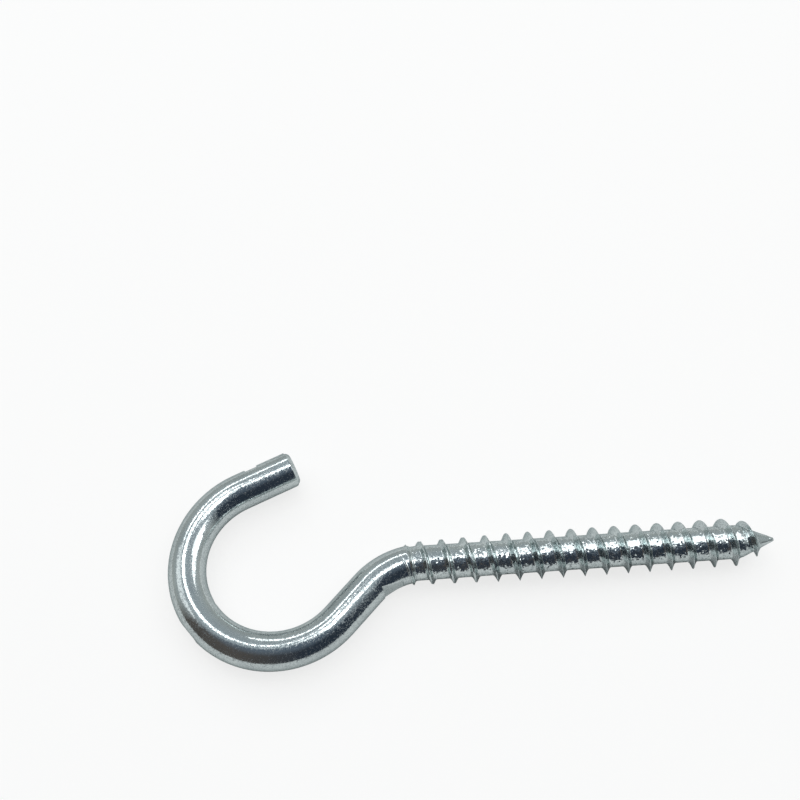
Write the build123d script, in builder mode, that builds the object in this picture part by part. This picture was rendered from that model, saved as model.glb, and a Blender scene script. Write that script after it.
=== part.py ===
"""Screw hook: one length of steel wire, bent to an open bowl, with a wood-screw thread rolled on its shank.

The hook lies in the XY plane. The origin is on the shank's axis where the thread begins,
+X runs along the shank towards the point, and the bowl is on the -X side.
"""

import os
from math import degrees, radians, tan

from build123d import *

os.makedirs("parts", exist_ok=True)

# Wire and its bends, with each radius taken at the wire's centre line
wire_diameter = 4.7
neck_radius = 9.4
neck_turn = 45.2
slope_length = 5.36
bowl_radius = 10.88
bowl_turn = 202.3
tail_length = 7.53

# Free end, cut square and chamfered
end_chamfer_width = 0.5

# Thread, which begins a little way round the neck bend
thread_diameter = 6.0
root_diameter = 4.2
thread_pitch = 2.72
flank_angle = 60.0
bent_thread_length = 1.4

# Ridge: how far ahead of the thread it starts, rises out of the wire and fills out to a sharp crest
ridge_lead_length = 0.77
rise_length = 0.95
rise_diameter = 5.32
fill_length = 13.0

# Shank from the start of the thread to the tip of the gimlet point
shank_length = 45.9
point_half_angle = 23.0
tip_diameter = 0.4

# Ridge on the point: how far from the tip it starts to close in, and the steep wall that ends it
run_out_length = 4.7
bare_tip_length = 0.9
end_wall_angle = 65.0

# Lip that the rolling dies push up where the thread begins
lip_height = 0.15
lip_width = 0.3
lip_taper_length = 0.4

# Mark that the bending post presses into the inside of the wire, just past the neck
post_depth = 0.25
post_reach_length = 0.55
post_width = 1.6

# Flat that the gripping jaws press on the outside of the tail, and the fin that they leave on it
jaw_depth = 0.17
jaw_length = 6.0
jaw_roll = 25.0
fin_length = 4.0
fin_base_width = 0.5
fin_top_width = 0.3
fin_height = 0.16
fin_end_length = 0.4

# How far a piece runs into its neighbour, or a cut runs out of the metal
overrun_depth = 0.4

wire_radius = wire_diameter / 2
thread_radius = thread_diameter / 2
root_radius = root_diameter / 2
rise_radius = rise_diameter / 2
tip_radius = tip_diameter / 2
lip_radius = wire_radius + lip_height
spare_radius = thread_radius + overrun_depth

# Gimlet point: its slope, and where it leaves the root
point_slope = tan(radians(point_half_angle))
point_start = shank_length - (root_radius - tip_radius) / point_slope

# Ridge section, from a foot inside the root to the crest
ridge_foot_radius = root_radius - overrun_depth
ridge_height = thread_radius - ridge_foot_radius
ridge_half_width = ridge_height * tan(radians(flank_angle / 2))
ridge_start = -ridge_lead_length


def ridge_piece(start, end, closing_angle):
    """Make the thread ridge from one place on the shank to another, on a helix that may close in."""
    with BuildPart() as piece:
        with BuildLine() as path:
            helix = Helix(
                pitch=thread_pitch,
                height=end - start,
                radius=ridge_foot_radius,
                center=(start, 0, 0),
                direction=(1, 0, 0),
                cone_angle=-closing_angle,
            )
        with BuildSketch(Plane(helix @ 0, x_dir=(1, 0, 0), z_dir=(0, -1, 0))):
            with BuildLine():
                Polyline((-ridge_half_width, 0), (0, ridge_height), (ridge_half_width, 0), close=True)
            make_face()
        sweep(path=path.wire(), is_frenet=True)
    return piece.part.rotate(Axis.X, 360 * (start - ridge_start) / thread_pitch)


# Run-in: the ridge rises out of the wire, then fills out over the first turns
rise_slope = (rise_radius - wire_radius) / rise_length
run_in_low = ridge_start - thread_pitch
run_in_high = fill_length + thread_pitch
with BuildPart() as run_in:
    add(ridge_piece(ridge_start, fill_length, 0))
    with BuildSketch(Plane.XY):
        with BuildLine():
            Polyline(
                (run_in_low, 0),
                (run_in_low, wire_radius - thread_pitch * rise_slope),
                (ridge_start + rise_length, rise_radius),
                (fill_length, thread_radius),
                (run_in_high, spare_radius),
                (run_in_high, 0),
                close=True,
            )
        make_face()
    revolve(axis=Axis.X, mode=Mode.INTERSECT)

# Full thread
run_out_start = shank_length - run_out_length
with BuildPart() as full_thread:
    add(ridge_piece(fill_length, run_out_start, 0))

# Run-out: the ridge follows the point's cone as far as its end wall
run_out_low = run_out_start - thread_pitch
run_out_end = run_out_start + (ridge_foot_radius - tip_radius) / point_slope
wall_foot = shank_length - bare_tip_length
wall_top = wall_foot - spare_radius / tan(radians(end_wall_angle))
with BuildPart() as run_out:
    add(ridge_piece(run_out_start, run_out_end, point_half_angle))
    with BuildSketch(Plane.XY):
        with BuildLine():
            Polyline(
                (run_out_low, 0),
                (run_out_low, spare_radius),
                (wall_top, spare_radius),
                (wall_foot, 0),
                close=True,
            )
        make_face()
    revolve(axis=Axis.X, mode=Mode.INTERSECT)

# Centre line of the bare wire, from the start of the thread to the free end
bent_thread_turn = degrees(bent_thread_length / neck_radius)
bent_thread = JernArc((bent_thread_length, 0), (-1, 0), neck_radius, bent_thread_turn)
with BuildLine() as centre_line:
    neck = JernArc(bent_thread @ 1, bent_thread % 1, neck_radius, neck_turn - bent_thread_turn)
    slope = PolarLine(neck @ 1, slope_length, direction=neck % 1)
    bowl = JernArc(slope @ 1, slope % 1, bowl_radius, -bowl_turn)
    tail = PolarLine(bowl @ 1, tail_length, direction=bowl % 1)

with BuildPart() as screw_hook:
    # Bent wire with its free end chamfered
    with BuildSketch(Plane(neck @ 0, z_dir=neck % 0)):
        Circle(wire_radius)
    sweep(path=centre_line.wire())
    free_end = faces().sort_by_distance(tail @ 1)[0]
    chamfer(free_end.edges(), end_chamfer_width)

    # Root of the thread, from inside the lip to the tip
    with BuildSketch(Plane.XY):
        with BuildLine():
            Polyline(
                (-overrun_depth, 0),
                (-overrun_depth, root_radius),
                (point_start, root_radius),
                (shank_length, tip_radius),
                (shank_length, 0),
                close=True,
            )
        make_face()
    revolve(axis=Axis.X)

    # Lip, square to the bent wire
    with BuildSketch(Plane(neck @ 0, x_dir=-(neck % 0), z_dir=(0, 0, 1))):
        with BuildLine():
            Polyline(
                (-lip_width, 0),
                (-lip_width, wire_radius - lip_height),
                (0, lip_radius),
                (lip_taper_length, root_radius - lip_height),
                (lip_taper_length, 0),
                close=True,
            )
        make_face()
    revolve(axis=Axis(neck @ 0, neck % 0))

    # Thread ridge on the root
    add([run_in.part, full_thread.part, run_out.part])

    # Post's mark, a flat along the middle of the bend with a step at its end
    inside = Vector(0, 0, 1).cross(slope % 0)
    post_edge = slope @ 0 + (slope % 0) * post_reach_length + inside * (wire_radius - post_depth)
    middle_way = Vector(1, 0, 0).rotate(Axis.Z, neck_turn / 2)
    with BuildSketch(Plane(post_edge, x_dir=middle_way, z_dir=(0, 0, 1))):
        Rectangle(post_width, wire_diameter, align=(Align.MIN, Align.MAX))
    extrude(amount=wire_radius, both=True, mode=Mode.SUBTRACT)

    # Jaws' flat along the outside of the tail
    outside = Vector(0, 0, 1).cross(tail % 1).rotate(Axis((0, 0, 0), tail % 1), jaw_roll)
    flat_centre = outside * (wire_radius - jaw_depth)
    with BuildSketch(Plane(tail @ 1 + flat_centre, x_dir=outside, z_dir=-(tail % 1))):
        Rectangle(wire_radius, wire_diameter, align=(Align.MIN, Align.CENTER))
    extrude(amount=jaw_length, mode=Mode.SUBTRACT)

    # Fin on the flat
    fin_end = tail @ 1 - (tail % 1) * fin_end_length
    with BuildSketch(Plane(fin_end + flat_centre, x_dir=outside, z_dir=-(tail % 1))):
        with BuildLine():
            Polyline(
                (-overrun_depth, -fin_base_width / 2),
                (0, -fin_base_width / 2),
                (fin_height, -fin_top_width / 2),
                (fin_height, fin_top_width / 2),
                (0, fin_base_width / 2),
                (-overrun_depth, fin_base_width / 2),
                close=True,
            )
        make_face()
    extrude(amount=fin_length)

screw_hook.part.label = "screw_hook"
export_step(screw_hook.part, "parts/screw_hook.step")
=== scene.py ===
"""Looks of a zinc-plated screw hook: its bent wire, rolled thread, plating and a plain studio stage.

The hook lies flat, with its shank along +X, its bowl on the -X side and the thread beginning at the origin.
"""

import math

import bmesh
import bpy
from mathutils import Matrix, Vector, noise


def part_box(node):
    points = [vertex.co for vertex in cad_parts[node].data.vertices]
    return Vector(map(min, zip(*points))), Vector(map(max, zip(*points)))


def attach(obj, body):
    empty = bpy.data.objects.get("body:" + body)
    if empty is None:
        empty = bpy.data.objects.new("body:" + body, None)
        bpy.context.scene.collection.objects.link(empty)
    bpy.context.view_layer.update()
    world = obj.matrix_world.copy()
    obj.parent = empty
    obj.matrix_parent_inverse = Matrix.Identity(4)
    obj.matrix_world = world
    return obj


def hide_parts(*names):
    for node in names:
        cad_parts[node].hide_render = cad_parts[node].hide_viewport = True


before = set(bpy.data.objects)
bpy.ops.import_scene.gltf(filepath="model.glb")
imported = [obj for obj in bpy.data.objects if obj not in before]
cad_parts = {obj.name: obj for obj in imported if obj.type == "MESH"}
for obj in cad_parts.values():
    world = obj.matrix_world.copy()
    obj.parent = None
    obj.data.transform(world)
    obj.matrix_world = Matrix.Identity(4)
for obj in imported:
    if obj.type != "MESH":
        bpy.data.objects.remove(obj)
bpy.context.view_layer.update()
hook_low, hook_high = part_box("screw_hook")

bl_info = {
    "name": "Zinc-plated screw hook",
    "version": (1, 0, 0),
    "blender": (4, 5, 0),
    "location": "View3D > Sidebar > Screw hook",
    "description": "Models a zinc-plated screw hook on its frame, with a plain studio stage",
    "category": "Object",
}

MM = 0.001
X_AXIS = Vector((1, 0, 0))
Z_AXIS = Vector((0, 0, 1))

# Vertices around the wire and around each turn of the thread
RING_STEPS = 96
# Faces along the neck, the slope and the bowl
NECK_STEPS = 96
SLOPE_STEPS = 12
BOWL_STEPS = 84
# Faces along a flank of the ridge, round its foot and over half of the root
FLANK_STEPS = 5
FOOT_STEPS = 4
ROOT_STEPS = 3
# Vertices closer than this are one vertex
WELD = 0.001 * MM
# Shares of a step round a ring: how far off an even vertex may lie, and how far it draws odd ones in
EVEN_SHARE = 0.01
DRAW_SHARE = 0.52
# Length over which a pressed step rises
STEP_LENGTH = 0.03 * MM
# Faces that meet at a larger angle have a sharp edge
SHARP_ANGLE = math.radians(50)
# Edges of an end, as shares of the edge's size ahead and inward
ROUND_EDGE = tuple(
    (math.sin(math.radians(angle)), 1 - math.cos(math.radians(angle))) for angle in (15, 30, 45, 60, 75, 90)
)
CHAMFER_EDGE = ((0.05, 0.02), (0.12, 0.08), (0.5, 0.46), (0.9, 0.86), (0.97, 0.94), (1.0, 1.02))
# Rings of a domed end, as shares of its radius
DOME_SHARES = (0.75, 0.5, 0.25)
# Rings of the lip in front of its crest and behind it, as shares of its two slopes
LIP_FRONT_SHARES = (1.0, 0.5, 0.15)
LIP_BACK_SHARES = (0.0, 0.15, 0.3, 0.45, 0.6, 0.8, 1.0)
# Place of the lip's seam, as a share of the slope behind its crest
LIP_SEAM_SHARE = 0.3
# Share of a turn, from +Y towards +Z, at which the ridge starts
RIDGE_START = 0.25
# Nicks along one turn of the crest
NICKS_A_TURN = 9
# Share of the run-out over which the rolled marks fade
MARK_FADE_SHARE = 0.25

# How much each channel of a crystal's random colour counts towards its dullness
DULL_WEIGHTS = (0.5, 0.3, 0.2)
# Dullness over which a crystal goes from bright to dull
DULL_RANGE = (0.45, 0.85)
# Noise over which the plating drifts from deep to pale
DRIFT_RANGE = (0.35, 0.6)
# Depth in the thread over which the rolled marks set in
ROLLED_RANGE = (0.75, 1.0)

FLOOR_RADIUS = 3.0
# Share of the floor's glow that the metal shows
FLOOR_GLOW_IN_METAL = 0.08
# Radius of the dome of lights
DOME_RADIUS = 0.6
# Watts a square metre that give a light a radiance of one
LIGHT_POWER = 4
# Middle of the panel over the thread, and its height above the shank
PANEL_PLACE = Vector((53, 22, 0)) * MM
PANEL_HEIGHT = 60 * MM
# Azimuth of the studio's dark side, and how its edges, its two halves and its top blend
DARK_AZIMUTH = -100
DARK_RANGE = (0.165, 0.39)
ASIDE_RANGE = (-0.5, 0.3)
OVERHEAD_RANGE = (0.75, 1.0)


def length(name, description, default):
    """Make a length property in metres."""
    return bpy.props.FloatProperty(
        name=name, description=description, default=default, precision=6, unit="LENGTH", subtype="DISTANCE"
    )


def turn(name, description, degrees):
    """Make an angle property."""
    return bpy.props.FloatProperty(
        name=name, description=description, default=math.radians(degrees), unit="ROTATION", subtype="ANGLE"
    )


def fraction(name, description, default):
    """Make a property from 0 to 1."""
    return bpy.props.FloatProperty(
        name=name, description=description, default=default, min=0.0, max=1.0, subtype="FACTOR"
    )


def colour(name, description, default):
    """Make a linear colour property."""
    return bpy.props.FloatVectorProperty(
        name=name, description=description, default=default, size=4, min=0.0, max=1.0, subtype="COLOR"
    )


class WireSizes(bpy.types.PropertyGroup):
    """Sizes of the bent wire and what its tools left on it"""

    diameter: length("Wire diameter", "Diameter of the drawn wire", 4.7 * MM)
    neck_radius: length("Neck radius", "Radius of the neck bend at the wire's centre line", 9.4 * MM)
    neck_turn: turn("Neck turn", "Angle of the neck bend", 45.2)
    slope_length: length("Slope length", "Straight wire between the neck and the bowl", 5.36 * MM)
    bowl_radius: length("Bowl radius", "Radius of the bowl at the wire's centre line", 10.88 * MM)
    bowl_turn: turn("Bowl turn", "Angle of the bowl", 202.3)
    tail_length: length("Tail length", "Straight wire between the bowl and the free end", 7.53 * MM)
    end_chamfer: length("End chamfer", "Width of the chamfer round the free end", 0.5 * MM)
    end_dome: length("End dome", "Height of the dome of the free end", 0.04 * MM)
    post_depth: length("Post depth", "Depth of the bending post's mark on the neck", 0.52 * MM)
    post_place: length("Post place", "Distance from the mark's step to the end of the neck", 0.75 * MM)
    post_width: length("Post width", "Width of the mark", 2.7 * MM)
    post_way: turn("Post way", "Angle of the mark to the shank", 20.0)
    post_roll: turn("Post roll", "Angle of the mark above the plane of the hook", 10.0)
    outer_flat: turn("Outer flat", "Turn of the bowl at which the flat on its outside begins", 91.7)
    inner_flat: turn("Inner flat", "Turn of the bowl at which the flat on its inside begins", 103.3)
    flat_turn: turn("Flat turn", "Turn of the bowl over which each of its flats runs on", 13.0)
    flat_depth: length("Flat depth", "Depth of the bowl's flats where they begin", 0.07 * MM)
    jaw_depth: length("Jaw depth", "Depth of the flat that the jaws press on the tail", 0.17 * MM)
    jaw_length: length("Jaw length", "Length of the flat, from the free end", 6.0 * MM)
    jaw_roll: turn("Jaw roll", "Angle of the flat above the plane of the hook", 25.0)
    fin_length: length("Fin length", "Length of the fin that the jaws leave on the flat", 3.9 * MM)
    fin_base: length("Fin base", "Width of the fin at its foot", 0.5 * MM)
    fin_top: length("Fin top", "Width of the fin at its top", 0.3 * MM)
    fin_height: length("Fin height", "Height of the fin", 0.16 * MM)


class ThreadSizes(bpy.types.PropertyGroup):
    """Sizes of the rolled thread and its gimlet point"""

    radius: length("Thread radius", "Radius over the crests", hook_high.z)
    root_radius: length("Root radius", "Radius of the shank between the ridges", 2.1 * MM)
    root_swell: length("Root swell", "How much thicker the root is where the thread begins", 0.06 * MM)
    pitch: length("Pitch", "Advance of the ridge in one turn", 2.72 * MM)
    flank_angle: turn("Flank angle", "Angle between the two flanks of the ridge", 60.0)
    bent_length: length("Bent length", "Length of the thread that lies on the neck bend", 1.4 * MM)
    ridge_lead: length("Ridge lead", "How far ahead of the thread the ridge starts", 0.77 * MM)
    rise_length: length("Rise length", "Length over which the ridge rises out of the wire", 0.95 * MM)
    rise_radius: length("Rise radius", "Radius over the ridge at the end of the rise", 2.66 * MM)
    fill_length: length("Fill length", "Length over which the ridge fills out to a sharp crest", 13.0 * MM)
    shank_length: length("Shank length", "Length from the start of the thread to the tip", hook_high.x)
    point_half_angle: turn("Point half angle", "Half of the gimlet point's angle", 23.0)
    tip_radius: length("Tip radius", "Radius of the blunt tip", 0.2 * MM)
    run_out: length("Run-out", "Length of the point on which the ridge closes in", 4.7 * MM)
    bare_tip: length("Bare tip", "Length of the point past the ridge's end wall", 0.9 * MM)
    end_wall_angle: turn("End wall angle", "Steepness of the wall that ends the ridge", 65.0)
    trace_height: length("Trace height", "Height of the ridge's trace on the bare point", 0.012 * MM)
    trace_length: length("Trace length", "Length of the point over which the last trace fades", 0.6 * MM)
    lip_place: length("Lip place", "Where the lip pushed up by the dies crosses the middle", 0.1 * MM)
    lip_lean: length("Lip lean", "How far the lip leans along the shank on each side", 0.11 * MM)
    lip_height: length("Lip height", "Height of the lip", 0.17 * MM)
    lip_width: length("Lip width", "Length of the lip's slope on the wire", 0.2 * MM)
    lip_taper: length("Lip taper", "Length over which the lip falls to the root", 0.35 * MM)
    foot_round: length("Foot round", "Size of the round where the ridge meets the root", 0.12 * MM)
    crest_round: length("Crest round", "Size of the round on the ridge's crest", 0.025 * MM)
    blunt_height: length("Blunt height", "How far the blunt crests stop short of a sharp edge", 0.18 * MM)
    flank_hollow: length("Flank hollow", "How far the middle of each flank is hollowed", 0.1 * MM)
    point_blend: length("Point blend", "Size of the round where the point leaves the shank", 0.25 * MM)
    tip_round: length("Tip round", "Radius of the edge of the blunt tip", 0.12 * MM)
    seam_depth: length("Seam depth", "Depth of the seam along the lip and the blunt crests", 0.09 * MM)
    seam_width: length("Seam width", "Width of the seam", 0.16 * MM)
    nick_depth: length("Nick depth", "Depth of the nicks along the crest", 0.05 * MM)


class PlatingLooks(bpy.types.PropertyGroup):
    """Colours and grain of the zinc plating"""

    pale: colour("Pale zinc", "Colour of the plating at its palest", (0.84, 0.9, 0.89, 1.0))
    deep: colour("Deep zinc", "Colour of the plating at its deepest", (0.72, 0.78, 0.78, 1.0))
    dull: colour("Dull zinc", "Colour of the dull crystals", (0.56, 0.61, 0.62, 1.0))
    edge: colour("Edge zinc", "Colour of the plating where it turns away", (0.55, 0.6, 0.6, 1.0))
    bright_roughness: fraction("Bright roughness", "Roughness of the bright crystals", 0.06)
    dull_roughness: fraction("Dull roughness", "Roughness of the dull crystals", 0.42)
    grain_tilt: fraction("Grain tilt", "How far the crystals tilt the surface", 0.02)
    mark_tilt: fraction("Mark tilt", "How far the strongest rolled marks tilt the surface", 0.3)
    grain_size: length("Grain size", "Size of the plating's crystals", 0.12 * MM)
    mark_size: length("Mark size", "Size of the rolled marks in the thread's root", 0.2 * MM)
    drift_size: length("Drift size", "Size of the drifts in the plating's colour", 3.0 * MM)


class StageLooks(bpy.types.PropertyGroup):
    """Camera, floor and lights"""

    floor_colour: colour("Floor", "Colour of the floor", (0.23, 0.23, 0.23, 1.0))
    floor_glow: colour("Floor glow", "Light that the floor gives by itself", (0.76, 0.76, 0.755, 1.0))
    floor_in_metal: colour("Floor in metal", "Floor's colour in the metal", (0.57, 0.58, 0.575, 1.0))
    lit_low: colour("Lit side, low", "Light from the lit side at the horizon", (0.35, 0.37, 0.36, 1.0))
    lit_high: colour("Lit side, high", "Light from the lit side overhead", (0.29, 0.335, 0.37, 1.0))
    dark_left: colour("Dark side, left", "Light from the camera's left", (0.08, 0.072, 0.068, 1.0))
    dark_right: colour("Dark side, right", "Light from the camera's right", (0.024, 0.033, 0.048, 1.0))
    dark_high: colour("Dark side, high", "Light from the camera's side overhead", (0.11, 0.14, 0.18, 1.0))
    lens: bpy.props.FloatProperty(
        name="Lens", description="Focal length of the camera", default=46.35, unit="CAMERA"
    )
    camera_place: bpy.props.FloatVectorProperty(
        name="Camera place",
        description="Where the camera stands",
        default=(-0.003342, -0.040882, 0.123399),
        size=3,
        precision=6,
        subtype="TRANSLATION",
    )
    camera_aim: bpy.props.FloatVectorProperty(
        name="Camera aim",
        description="Where the middle of the picture meets the plane of the hook",
        default=(0.000396, 0.023027, 0.0),
        size=3,
        precision=6,
        subtype="TRANSLATION",
    )
    camera_roll: turn("Camera roll", "Turn of the camera about its own line of sight", -0.62)


def soft_max(a, b, width):
    """Give the larger of two heights, with their crossing rounded over about that width."""
    overlap = max(width - abs(a - b), 0.0)
    return max(a, b) + overlap * overlap / (4 * width)


def soft_min(a, b, width):
    """Give the smaller of two heights, with their crossing rounded over about that width."""
    return -soft_max(-a, -b, width)


def heading(angle):
    """Give the flat unit vector at an angle from +X."""
    return Vector((math.cos(angle), math.sin(angle), 0.0))


# Thread


def point_radius_at(thread, x):
    """Give the radius of the gimlet point's cone."""
    return thread.tip_radius + (thread.shank_length - x) * math.tan(thread.point_half_angle)


def seam_at(thread, aside):
    """Give the depth of the seam beside its middle."""
    return thread.seam_depth * math.exp(-((2 * aside / thread.seam_width) ** 2))


def root_radius_at(thread, wire, x, angle):
    """Give the radius between the ridges, from the bare wire over the lip and the root to the tip."""
    wire_radius = wire.diameter / 2
    lip_radius = wire_radius + thread.lip_height
    past = x - thread.lip_place + thread.lip_lean * math.cos(angle)
    if past < 0.0:
        lip = lip_radius + past / thread.lip_width * thread.lip_height
        return soft_max(wire_radius, lip, thread.crest_round)
    root = thread.root_radius + thread.root_swell * max(0.0, 1 - x / thread.fill_length)
    lip = lip_radius - past / thread.lip_taper * (lip_radius - root)
    lip -= seam_at(thread, past - LIP_SEAM_SHARE * thread.lip_taper)
    return soft_min(soft_max(root, lip, thread.crest_round), point_radius_at(thread, x), thread.point_blend)


def ridge_top_at(thread, wire, x):
    """Give the radius that the ridge may reach: it rises, fills out and stops at its end wall."""
    wire_radius = wire.diameter / 2
    rise_share = (x + thread.ridge_lead) / thread.rise_length
    rise = wire_radius + rise_share * (thread.rise_radius - wire_radius)
    rise_end = thread.rise_length - thread.ridge_lead
    fill_share = (x - rise_end) / (thread.fill_length - rise_end)
    fill = thread.rise_radius + fill_share * (thread.radius - thread.rise_radius)
    left = thread.shank_length - x
    wall = (left - thread.bare_tip) * math.tan(thread.end_wall_angle)
    trace_share = min(1.0, max(0.0, left / thread.trace_length - 1))
    trace = point_radius_at(thread, x) + thread.trace_height * trace_share
    return min(rise, fill, thread.radius, max(wall, trace))


def thread_radius_at(thread, wire, x, angle):
    """Give the thread's radius at a place along the shank and an angle round it from +Y towards +Z."""
    turns = (x + thread.ridge_lead) / thread.pitch + RIDGE_START - angle / math.tau
    aside = (turns - round(turns)) * thread.pitch
    closing = max(0.0, x - aside - thread.shank_length + thread.run_out)
    top = ridge_top_at(thread, wire, x)
    crest = min(thread.radius - closing * math.tan(thread.point_half_angle), top + thread.blunt_height)
    fall = (math.hypot(aside, thread.crest_round) - thread.crest_round) / math.tan(thread.flank_angle / 2)
    share = min(1.0, fall / (thread.radius - thread.root_radius))
    flank = crest - fall - 4 * thread.flank_hollow * share * (1 - share)
    blunt_share = min(1.0, (thread.radius - top) / (thread.radius - thread.rise_radius))
    if x < thread.fill_length:
        top -= blunt_share * seam_at(thread, aside)
    top -= thread.nick_depth * max(0.0, noise.noise(X_AXIS * turns * NICKS_A_TURN))
    ridge = soft_min(flank, top, thread.crest_round)
    return soft_max(root_radius_at(thread, wire, x, angle), ridge, thread.foot_round)


def thread_profile(mesh, thread, middle):
    """Draw one pitch of the thread's outline beside the shank, as a chain of edges."""
    crest = [0.5 * thread.crest_round] * 2 + [thread.crest_round, 2 * thread.crest_round]
    half_foot = (thread.radius - thread.root_radius) * math.tan(thread.flank_angle / 2)
    flank = half_foot - thread.foot_round - sum(crest)
    root = thread.pitch / 2 - half_foot - thread.foot_round
    half = crest + [flank / FLANK_STEPS] * FLANK_STEPS
    half += [2 * thread.foot_round / FOOT_STEPS] * FOOT_STEPS + [root / ROOT_STEPS] * ROOT_STEPS
    ends = [mesh.verts.new((middle - thread.pitch / 2, thread.root_radius, 0.0))]
    for step in half[::-1] + half:
        ends = bmesh.ops.extrude_vert_indiv(mesh, verts=ends)["verts"]
        bmesh.ops.translate(mesh, verts=ends, vec=X_AXIS * step)
    return mesh.verts[:] + mesh.edges[:]


def cut_across(mesh, x, lean=0.0, **clear):
    """Cut the mesh across the shank, upright or leaning, and clear one side of the cut if asked to."""
    bmesh.ops.bisect_plane(
        mesh, geom=mesh.verts[:] + mesh.edges[:] + mesh.faces[:], dist=WELD / 2,
        plane_co=X_AXIS * x, plane_no=Vector((1, lean, 0)), **clear,
    )


def ring_at(mesh, x):
    """Find the open edges of the mesh that lie in a plane across the shank."""
    return [
        edge for edge in mesh.edges
        if edge.is_boundary and all(abs(vert.co.x - x) < WELD for vert in edge.verts)
    ]


def verts_of(edges):
    """Give the vertices of some edges, each once."""
    return list(dict.fromkeys(vert for edge in edges for vert in edge.verts))


def even_ring(mesh, x):
    """Weld the odd vertices of a cut ring to the evenly spaced ones beside them, and give the ring."""
    bmesh.ops.remove_doubles(mesh, verts=verts_of(ring_at(mesh, x)), dist=WELD)
    verts = verts_of(ring_at(mesh, x))
    step = math.tau / RING_STEPS
    even = [
        vert for vert in verts
        if abs(math.remainder(math.atan2(vert.co.z, vert.co.y), step)) < EVEN_SHARE * step
    ]
    radius = math.hypot(even[0].co.y, even[0].co.z)
    found = bmesh.ops.find_doubles(mesh, verts=verts, keep_verts=even, dist=DRAW_SHARE * step * radius)
    bmesh.ops.weld_verts(mesh, targetmap=found["targetmap"])
    return ring_at(mesh, x)


def make_thread(mesh, thread, wire):
    """Spin the thread's outline along the shank and shape it, and give the rings at its two ends."""
    neck_end = -thread.bent_length
    tip_end = thread.shank_length - thread.tip_round
    middle = -thread.ridge_lead - (1 + RIDGE_START) * thread.pitch
    turns = math.ceil((tip_end - middle) / thread.pitch + 0.5)
    bmesh.ops.spin(
        mesh,
        geom=thread_profile(mesh, thread, middle),
        cent=(0, 0, 0),
        axis=X_AXIS,
        dvec=X_AXIS * thread.pitch / RING_STEPS,
        angle=math.tau,
        steps=RING_STEPS,
    )
    one_turn = mesh.verts[:] + mesh.edges[:] + mesh.faces[:]
    for count in range(1, turns):
        copied = bmesh.ops.duplicate(mesh, geom=one_turn)["geom"]
        copied_verts = [item for item in copied if isinstance(item, bmesh.types.BMVert)]
        bmesh.ops.translate(mesh, verts=copied_verts, vec=X_AXIS * thread.pitch * count)
    bmesh.ops.remove_doubles(mesh, verts=mesh.verts, dist=WELD)
    cut_across(mesh, neck_end, clear_inner=True)
    cut_across(mesh, tip_end, clear_outer=True)
    lean = thread.lip_lean / thread.root_radius
    for share in LIP_FRONT_SHARES:
        cut_across(mesh, thread.lip_place - share * thread.lip_width, lean)
    for share in LIP_BACK_SHARES:
        cut_across(mesh, thread.lip_place + share * thread.lip_taper, lean)
    rolled = mesh.verts.layers.float.new("rolled")
    for vert in mesh.verts:
        angle = math.atan2(vert.co.z, vert.co.y)
        radius = thread_radius_at(thread, wire, vert.co.x, angle)
        vert.co.y = radius * math.cos(angle)
        vert.co.z = radius * math.sin(angle)
        if vert.co.x > 0.0:
            left = thread.shank_length - vert.co.x - thread.bare_tip
            fade = min(1.0, max(0.0, left / (MARK_FADE_SHARE * thread.run_out)))
            depth = (thread.radius - radius) / (thread.radius - thread.root_radius)
            vert[rolled] = fade * min(1.0, depth)
    neck_ring = even_ring(mesh, neck_end)
    tip_ring = even_ring(mesh, tip_end)
    for vert in mesh.verts:
        bent = (thread.bent_length - vert.co.x) / wire.neck_radius
        if bent > 0.0:
            arm = wire.neck_radius + vert.co.y
            vert.co.x = thread.bent_length - arm * math.sin(bent)
            vert.co.y = arm * math.cos(bent) - wire.neck_radius
    return neck_ring, tip_ring


# Wire


def bend(mesh, ring, centre, angle, steps):
    """Spin the last ring of the wire about an upright axis, and give the new last ring."""
    spun = bmesh.ops.spin(
        mesh, geom=verts_of(ring) + ring, cent=centre, axis=Z_AXIS, angle=angle, steps=steps
    )
    return [item for item in spun["geom_last"] if isinstance(item, bmesh.types.BMEdge)]


def run(mesh, ring, way, steps=1):
    """Extrude the last ring of the wire straight on, and give the new last ring."""
    for _ in range(steps):
        made = bmesh.ops.extrude_edge_only(mesh, edges=ring)["geom"]
        ring = [item for item in made if isinstance(item, bmesh.types.BMEdge)]
        bmesh.ops.translate(mesh, verts=verts_of(ring), vec=way / steps)
    return ring


def close_end(mesh, ring, centre, way, radius, edge, edge_size, dome=0.0):
    """Shape the edge of an open end, dome it a little and close it."""
    flat = radius - edge_size
    stations = [(edge_size * ahead, radius - edge_size * inward) for ahead, inward in edge]
    stations += [(edge_size + dome * (1 - share * share), flat * share) for share in DOME_SHARES]
    moved, last_radius = 0.0, radius
    for ahead, next_radius in stations:
        ring = run(mesh, ring, way * (ahead - moved))
        space = Matrix.Translation(-(centre + way * ahead))
        bmesh.ops.scale(mesh, verts=verts_of(ring), vec=(next_radius / last_radius,) * 3, space=space)
        moved, last_radius = ahead, next_radius
    bmesh.ops.contextual_create(mesh, geom=ring)


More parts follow.
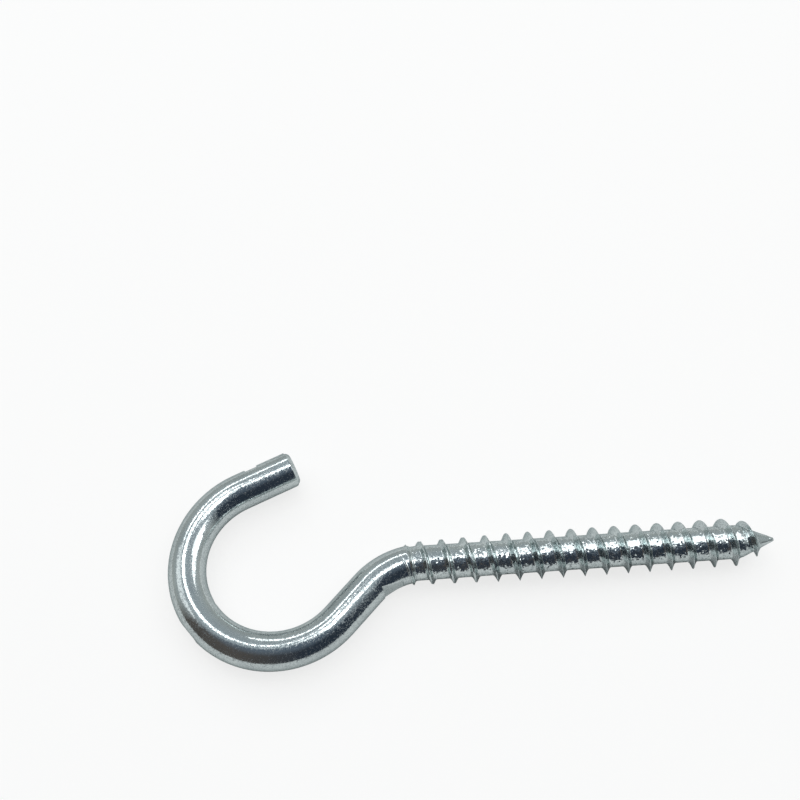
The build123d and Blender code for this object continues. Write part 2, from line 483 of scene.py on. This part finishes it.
def make_wire(mesh, ring, wire, thread):
    """Draw the wire on from the thread to its free end, and press the tools' marks into it."""
    neck_centre = Vector((thread.bent_length, -wire.neck_radius, 0))
    turned = 2 * thread.bent_length / wire.neck_radius
    ring = bend(mesh, ring, neck_centre, wire.neck_turn - turned, NECK_STEPS)

    # Slope
    place = neck_centre + heading(math.pi / 2 + wire.neck_turn) * wire.neck_radius
    way = math.pi + wire.neck_turn
    ring = run(mesh, ring, heading(way) * wire.slope_length, SLOPE_STEPS)
    press_post(mesh, wire, place, way)

    # Bowl
    place += heading(way) * wire.slope_length
    bowl_centre = place + heading(way - math.pi / 2) * wire.bowl_radius
    ring = bend(mesh, ring, bowl_centre, -wire.bowl_turn, BOWL_STEPS)
    press_bowl(mesh, wire, bowl_centre, way + math.pi / 2, wire.outer_flat, 1)
    press_bowl(mesh, wire, bowl_centre, way + math.pi / 2, wire.inner_flat, -1)
    way -= wire.bowl_turn

    # Tail, in stretches of a length and a number of faces, with a ring on each side of every step
    place = bowl_centre + heading(way + math.pi / 2) * wire.bowl_radius
    ahead = heading(way)
    jaw_start = wire.tail_length - wire.jaw_length
    fin_end = wire.tail_length - wire.end_chamfer
    fin_start = fin_end - wire.fin_length
    stretches = (
        (jaw_start - STEP_LENGTH, 4), (STEP_LENGTH, 1), (fin_start - jaw_start, 4), (STEP_LENGTH, 1),
        (wire.fin_length - 2 * STEP_LENGTH, 8), (STEP_LENGTH, 1),
    )
    for stretch, steps in stretches:
        ring = run(mesh, ring, ahead * stretch, steps)
    end = place + ahead * fin_end
    close_end(mesh, ring, end, ahead, wire.diameter / 2, CHAMFER_EDGE, wire.end_chamfer, wire.end_dome)
    press_jaws(mesh, wire, place, ahead, jaw_start, fin_start, fin_end)


def press_post(mesh, wire, place, way):
    """Press the post's flat along the inside of the neck bend, with a step at its end."""
    inside = heading(way + math.pi / 2) * math.cos(wire.post_roll) + Z_AXIS * math.sin(wire.post_roll)
    edge = place - heading(way) * wire.post_place + inside * (wire.diameter / 2 - wire.post_depth)
    outward = heading(wire.post_way - math.pi / 2) * math.cos(wire.post_roll)
    outward += Z_AXIS * math.sin(wire.post_roll)
    press_flat(mesh, wire, edge, heading(wire.post_way) * wire.post_width, outward)


def press_bowl(mesh, wire, centre, first, begin, side):
    """Press a shallow flat on the outside or inside of the bowl, with a step where it begins."""
    rim = wire.bowl_radius + side * wire.diameter / 2
    step = centre + heading(first - begin) * (rim - side * wire.flat_depth)
    fade = centre + heading(first - begin - wire.flat_turn) * rim
    outward = Z_AXIS.cross(fade - step).normalized() * side
    press_flat(mesh, wire, step, fade - step, outward)


def press_flat(mesh, wire, edge, run_on, outward):
    """Press what stands out past a plane back to it, from the plane's edge for as long as it runs on."""
    along = run_on.normalized()
    for vert in mesh.verts:
        arm = vert.co - edge
        height = arm.dot(outward)
        if 0.0 < arm.dot(along) < run_on.length and 0.0 < height < wire.diameter / 2:
            vert.co -= outward * height


def press_jaws(mesh, wire, place, ahead, jaw_start, fin_start, fin_end):
    """Press the jaws' flat along the outside of the tail, and leave a fin on it."""
    side = Z_AXIS.cross(ahead)
    outside = side * math.cos(wire.jaw_roll) + Z_AXIS * math.sin(wire.jaw_roll)
    across = ahead.cross(outside)
    flat = wire.diameter / 2 - wire.jaw_depth
    half_step = STEP_LENGTH / 2
    for vert in mesh.verts:
        arm = vert.co - place
        along = arm.dot(ahead)
        height = arm.dot(outside)
        if along < jaw_start - half_step or height < flat:
            continue
        pressed = flat
        if fin_start + half_step < along < fin_end - half_step:
            aside = wire.fin_base / 2 - abs(arm.dot(across))
            rise_share = min(1.0, max(0.0, 2 * aside / (wire.fin_base - wire.fin_top)))
            pressed += wire.fin_height * rise_share
        vert.co += outside * (pressed - height)


# Zinc plating


def add_node(tree, kind, **settings):
    """Add a shader node with some of its settings."""
    node = tree.nodes.new(kind)
    for name, value in settings.items():
        setattr(node, name, value)
    return node


def add_vector(tree, operation, first, second):
    """Combine two vectors, each a plain vector or an output of another node."""
    node = add_node(tree, "ShaderNodeVectorMath", operation=operation)
    for socket, source in zip(node.inputs, (first, second)):
        if isinstance(source, bpy.types.NodeSocket):
            tree.links.new(source, socket)
        else:
            socket.default_value = source
    return node.outputs["Value" if operation == "DOT_PRODUCT" else "Vector"]


def add_noise(tree, coordinates, size, detail):
    """Add a noise texture with features of about that size in metres."""
    texture = add_node(tree, "ShaderNodeTexNoise")
    texture.inputs["Scale"].default_value = 1 / size
    texture.inputs["Detail"].default_value = detail
    tree.links.new(coordinates, texture.inputs["Vector"])
    return texture.outputs["Fac"]


def add_mix(tree, factor, first, second):
    """Mix two colours, each a plain colour or an output of another node."""
    node = add_node(tree, "ShaderNodeMix", data_type="RGBA")
    tree.links.new(factor, node.inputs["Factor"])
    for socket, source in ((node.inputs["A"], first), (node.inputs["B"], second)):
        if isinstance(source, bpy.types.NodeSocket):
            tree.links.new(source, socket)
        else:
            socket.default_value = source
    return node.outputs["Result"]


def add_range(tree, value, from_low, from_high, to_low, to_high):
    """Map a value from one range to another, without passing the ends."""
    node = add_node(tree, "ShaderNodeMapRange", clamp=True)
    node.inputs["From Min"].default_value = from_low
    node.inputs["From Max"].default_value = from_high
    node.inputs["To Min"].default_value = to_low
    node.inputs["To Max"].default_value = to_high
    tree.links.new(value, node.inputs["Value"])
    return node.outputs["Result"]


def add_crystals(tree, coordinates, size):
    """Give each crystal of about that size its own random colour."""
    cells = add_node(tree, "ShaderNodeTexVoronoi")
    cells.inputs["Scale"].default_value = 1 / size
    tree.links.new(coordinates, cells.inputs["Vector"])
    return cells.outputs["Color"]


def add_tilt(tree, crystals):
    """Turn the crystals' colours into tilts of up to one each way."""
    tilt = add_vector(tree, "SUBTRACT", crystals, (0.5, 0.5, 0.5))
    return add_vector(tree, "MULTIPLY", tilt, (2, 2, 2))


def scale_vector(tree, vector, factor):
    """Scale a vector by a plain number or an output of another node."""
    node = add_node(tree, "ShaderNodeVectorMath", operation="SCALE")
    tree.links.new(vector, node.inputs[0])
    if isinstance(factor, bpy.types.NodeSocket):
        tree.links.new(factor, node.inputs["Scale"])
    else:
        node.inputs["Scale"].default_value = factor
    return node.outputs["Vector"]


def zinc_plating(looks):
    """Make the bright zinc plating: fine tilted crystals, and coarser rolled marks in the thread's root."""
    material = bpy.data.materials.new("zinc_plating")
    material.use_nodes = True
    tree = material.node_tree
    shader = tree.nodes["Principled BSDF"]
    shader.inputs["Metallic"].default_value = 1.0
    shader.inputs["Specular Tint"].default_value = looks.edge
    coordinates = add_node(tree, "ShaderNodeTexCoord").outputs["Object"]
    rolled = add_node(tree, "ShaderNodeAttribute", attribute_name="rolled").outputs["Fac"]

    # Crystals go from bright to dull
    crystals = add_crystals(tree, coordinates, looks.grain_size)
    dull = add_vector(tree, "DOT_PRODUCT", crystals, DULL_WEIGHTS)
    dull = add_range(tree, dull, *DULL_RANGE, 0.0, 1.0)
    roughness = add_range(tree, dull, 0.0, 1.0, looks.bright_roughness, looks.dull_roughness)
    tree.links.new(roughness, shader.inputs["Roughness"])

    # Tint drifts between pale and deep zinc, with the dull crystals darker
    drift = add_noise(tree, coordinates, looks.drift_size, detail=4.0)
    drift = add_range(tree, drift, *DRIFT_RANGE, 0.0, 1.0)
    tint = add_mix(tree, dull, add_mix(tree, drift, looks.deep, looks.pale), looks.dull)
    tree.links.new(tint, shader.inputs["Base Color"])

    # Crystals tilt the surface a little, and some of the rolled marks tilt it much
    normal = add_node(tree, "ShaderNodeNewGeometry").outputs["Normal"]
    fine = scale_vector(tree, add_tilt(tree, crystals), looks.grain_tilt)
    marks = add_tilt(tree, add_crystals(tree, coordinates, looks.mark_size))
    square = add_vector(tree, "MULTIPLY", marks, marks)
    marks = add_vector(tree, "MULTIPLY", marks, add_vector(tree, "MULTIPLY", square, square))
    marks = scale_vector(tree, marks, add_range(tree, rolled, *ROLLED_RANGE, 0.0, looks.mark_tilt))
    tilted = add_vector(tree, "ADD", normal, add_vector(tree, "ADD", fine, marks))
    tree.links.new(add_vector(tree, "NORMALIZE", tilted, (0, 0, 0)), shader.inputs["Normal"])
    return material


# Stage


def make_floor(looks):
    """Lay the pale floor under the hook, greyer where the metal mirrors it."""
    mesh = bmesh.new()
    bmesh.ops.create_circle(mesh, cap_ends=True, segments=64, radius=FLOOR_RADIUS)
    bmesh.ops.translate(mesh, verts=mesh.verts, vec=Z_AXIS * hook_low.z)
    data = bpy.data.meshes.new("floor")
    mesh.to_mesh(data)
    mesh.free()
    floor = bpy.data.objects.new("floor", data)
    bpy.context.scene.collection.objects.link(floor)
    material = bpy.data.materials.new("pale_floor")
    material.use_nodes = True
    tree = material.node_tree
    shader = tree.nodes["Principled BSDF"]
    shader.inputs["Roughness"].default_value = 0.9
    shader.inputs["Specular IOR Level"].default_value = 0.1
    glossy = add_node(tree, "ShaderNodeLightPath").outputs["Is Glossy Ray"]
    shown = add_mix(tree, glossy, looks.floor_colour, looks.floor_in_metal)
    tree.links.new(shown, shader.inputs["Base Color"])
    shader.inputs["Emission Color"].default_value = looks.floor_glow
    glow = add_range(tree, glossy, 0.0, 1.0, 1.0, FLOOR_GLOW_IN_METAL)
    tree.links.new(glow, shader.inputs["Emission Strength"])
    data.materials.append(material)


def direction(azimuth, elevation):
    """Give the unit vector at an azimuth from +X and an elevation, in degrees."""
    flat = math.cos(math.radians(elevation))
    return heading(math.radians(azimuth)) * flat + Z_AXIS * math.sin(math.radians(elevation))


def make_light(name, place, aim, width, height, radiance, roll=0.0):
    """Hang a rectangular soft light that faces its aim, upright but for a roll in degrees."""
    lamp = bpy.data.lights.new(name, "AREA")
    lamp.shape = "RECTANGLE"
    lamp.size = width
    lamp.size_y = height
    lamp.energy = LIGHT_POWER * width * height * radiance
    light = bpy.data.objects.new(name, lamp)
    light.location = place
    light.rotation_mode = "QUATERNION"
    rolled = Matrix.Rotation(math.radians(roll), 3, "Z").to_quaternion()
    light.rotation_quaternion = (aim - place).to_track_quat("-Z", "Y") @ rolled
    light.visible_camera = False
    bpy.context.scene.collection.objects.link(light)
    return light


def dome_light(name, azimuth, elevation, **light):
    """Hang a soft light on the dome round the hook, facing the origin."""
    return make_light(name, direction(azimuth, elevation) * DOME_RADIUS, Vector(), **light)


def make_lights():
    """Light the hook from the dome, with one panel close over the thread."""
    dome_light("right_light", 6, 48, width=0.22, height=0.34, radiance=1.0)
    dome_light("left_light", 165, 42, width=0.28, height=0.26, radiance=0.42)
    dome_light("back_light", 114, 41, width=0.46, height=0.06, radiance=2.0, roll=20)
    dome_light("high_light", 130, 66, width=0.13, height=0.13, radiance=2.2)
    dome_light("overhead_light", 50, 83.5, width=0.20, height=0.08, radiance=2.2)
    panel_place = PANEL_PLACE + Z_AXIS * PANEL_HEIGHT
    panel = make_light("thread_light", panel_place, PANEL_PLACE, width=0.064, height=0.052, radiance=1.0)
    panel.visible_diffuse = False
    fill = dome_light("floor_light", 90, 70, width=1.0, height=1.0, radiance=0.8)
    fill.visible_glossy = False


def make_world(looks):
    """Surround the hook with a studio that is lit behind it and dark on the camera's side."""
    world = bpy.data.worlds.new("studio")
    world.use_nodes = True
    tree = world.node_tree
    towards = add_node(tree, "ShaderNodeTexCoord").outputs["Generated"]
    height = add_vector(tree, "DOT_PRODUCT", towards, Z_AXIS)
    level = add_vector(tree, "NORMALIZE", add_vector(tree, "MULTIPLY", towards, (1, 1, 0)), (0, 0, 0))
    dark = add_vector(tree, "DOT_PRODUCT", level, direction(DARK_AZIMUTH, 0))
    dark = add_range(tree, dark, *DARK_RANGE, 0.0, 1.0)
    lit_side = add_mix(tree, height, looks.lit_low, looks.lit_high)
    aside = add_vector(tree, "DOT_PRODUCT", level, X_AXIS)
    aside = add_range(tree, aside, *ASIDE_RANGE, 0.0, 1.0)
    dark_side = add_mix(tree, aside, looks.dark_left, looks.dark_right)
    overhead = add_range(tree, height, *OVERHEAD_RANGE, 0.0, 1.0)
    dark_side = add_mix(tree, overhead, dark_side, looks.dark_high)
    room = add_mix(tree, dark, lit_side, dark_side)
    seen = add_node(tree, "ShaderNodeLightPath").outputs["Is Camera Ray"]
    tree.links.new(add_mix(tree, seen, room, (1, 1, 1, 1)), tree.nodes["Background"].inputs["Color"])
    bpy.context.scene.world = world


def make_camera(looks):
    """Stand the camera where the picture was taken from."""
    camera = bpy.data.objects.new("camera", bpy.data.cameras.new("camera"))
    camera.data.lens = looks.lens
    camera.data.clip_start = 0.01
    sight = Vector(looks.camera_aim) - Vector(looks.camera_place)
    camera.location = looks.camera_place
    camera.rotation_mode = "QUATERNION"
    camera.rotation_quaternion = (
        sight.to_track_quat("-Z", "Y") @ Matrix.Rotation(looks.camera_roll, 3, "Z").to_quaternion()
    )
    bpy.context.scene.collection.objects.link(camera)
    bpy.context.scene.camera = camera


# Operators and panel


class BuildHook(bpy.types.Operator):
    """Model the hook as one closed mesh in place of its solid"""

    bl_idname = "screw_hook.build_hook"
    bl_label = "Build hook"

    def execute(self, context):
        scene = context.scene
        wire, thread = scene.hook_wire, scene.hook_thread
        mesh = bmesh.new()
        neck_ring, tip_ring = make_thread(mesh, thread, wire)
        make_wire(mesh, neck_ring, wire, thread)
        tip_end = thread.shank_length - thread.tip_round
        tip_radius = root_radius_at(thread, wire, tip_end, 0.0)
        close_end(mesh, tip_ring, X_AXIS * tip_end, X_AXIS, tip_radius, ROUND_EDGE, thread.tip_round)
        bmesh.ops.remove_doubles(mesh, verts=mesh.verts, dist=WELD)
        bmesh.ops.dissolve_degenerate(mesh, edges=mesh.edges, dist=WELD / 2)
        bmesh.ops.recalc_face_normals(mesh, faces=mesh.faces)
        if any(not edge.is_manifold for edge in mesh.edges):
            raise RuntimeError("The hook's mesh isn't closed")
        data = bpy.data.meshes.new("plated_hook")
        mesh.to_mesh(data)
        mesh.free()
        data.shade_smooth()
        data.set_sharp_from_angle(angle=SHARP_ANGLE)
        data.materials.append(zinc_plating(scene.hook_plating))
        hook = bpy.data.objects.new("plated_hook", data)
        scene.collection.objects.link(hook)
        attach(hook, "root")
        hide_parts("screw_hook")
        return {"FINISHED"}


class BuildStage(bpy.types.Operator):
    """Set up the floor, the lights and the camera"""

    bl_idname = "screw_hook.build_stage"
    bl_label = "Build stage"

    def execute(self, context):
        looks = context.scene.hook_stage
        make_floor(looks)
        make_camera(looks)
        make_world(looks)
        make_lights()
        context.scene.view_settings.view_transform = "Standard"
        return {"FINISHED"}


class HookPanel(bpy.types.Panel):
    """Lists the hook's operators"""

    bl_idname = "VIEW3D_PT_screw_hook"
    bl_label = "Screw hook"
    bl_space_type = "VIEW_3D"
    bl_region_type = "UI"
    bl_category = "Screw hook"

    def draw(self, context):
        for operator in OPERATORS:
            self.layout.operator(operator.bl_idname)


OPERATORS = (BuildHook, BuildStage)
GROUPS = {
    "hook_wire": WireSizes,
    "hook_thread": ThreadSizes,
    "hook_plating": PlatingLooks,
    "hook_stage": StageLooks,
}
CLASSES = (*GROUPS.values(), *OPERATORS, HookPanel)


def register():
    """Register the classes and give the scene its settings."""
    for made in CLASSES:
        bpy.utils.register_class(made)
    for name, group in GROUPS.items():
        setattr(bpy.types.Scene, name, bpy.props.PointerProperty(type=group))


def unregister():
    """Take the settings and the classes away again."""
    for name in GROUPS:
        delattr(bpy.types.Scene, name)
    for made in reversed(CLASSES):
        bpy.utils.unregister_class(made)


def main():
    """Build the hook and its stage."""
    register()
    bpy.ops.screw_hook.build_hook()
    bpy.ops.screw_hook.build_stage()


if __name__ == "__main__":
    main()
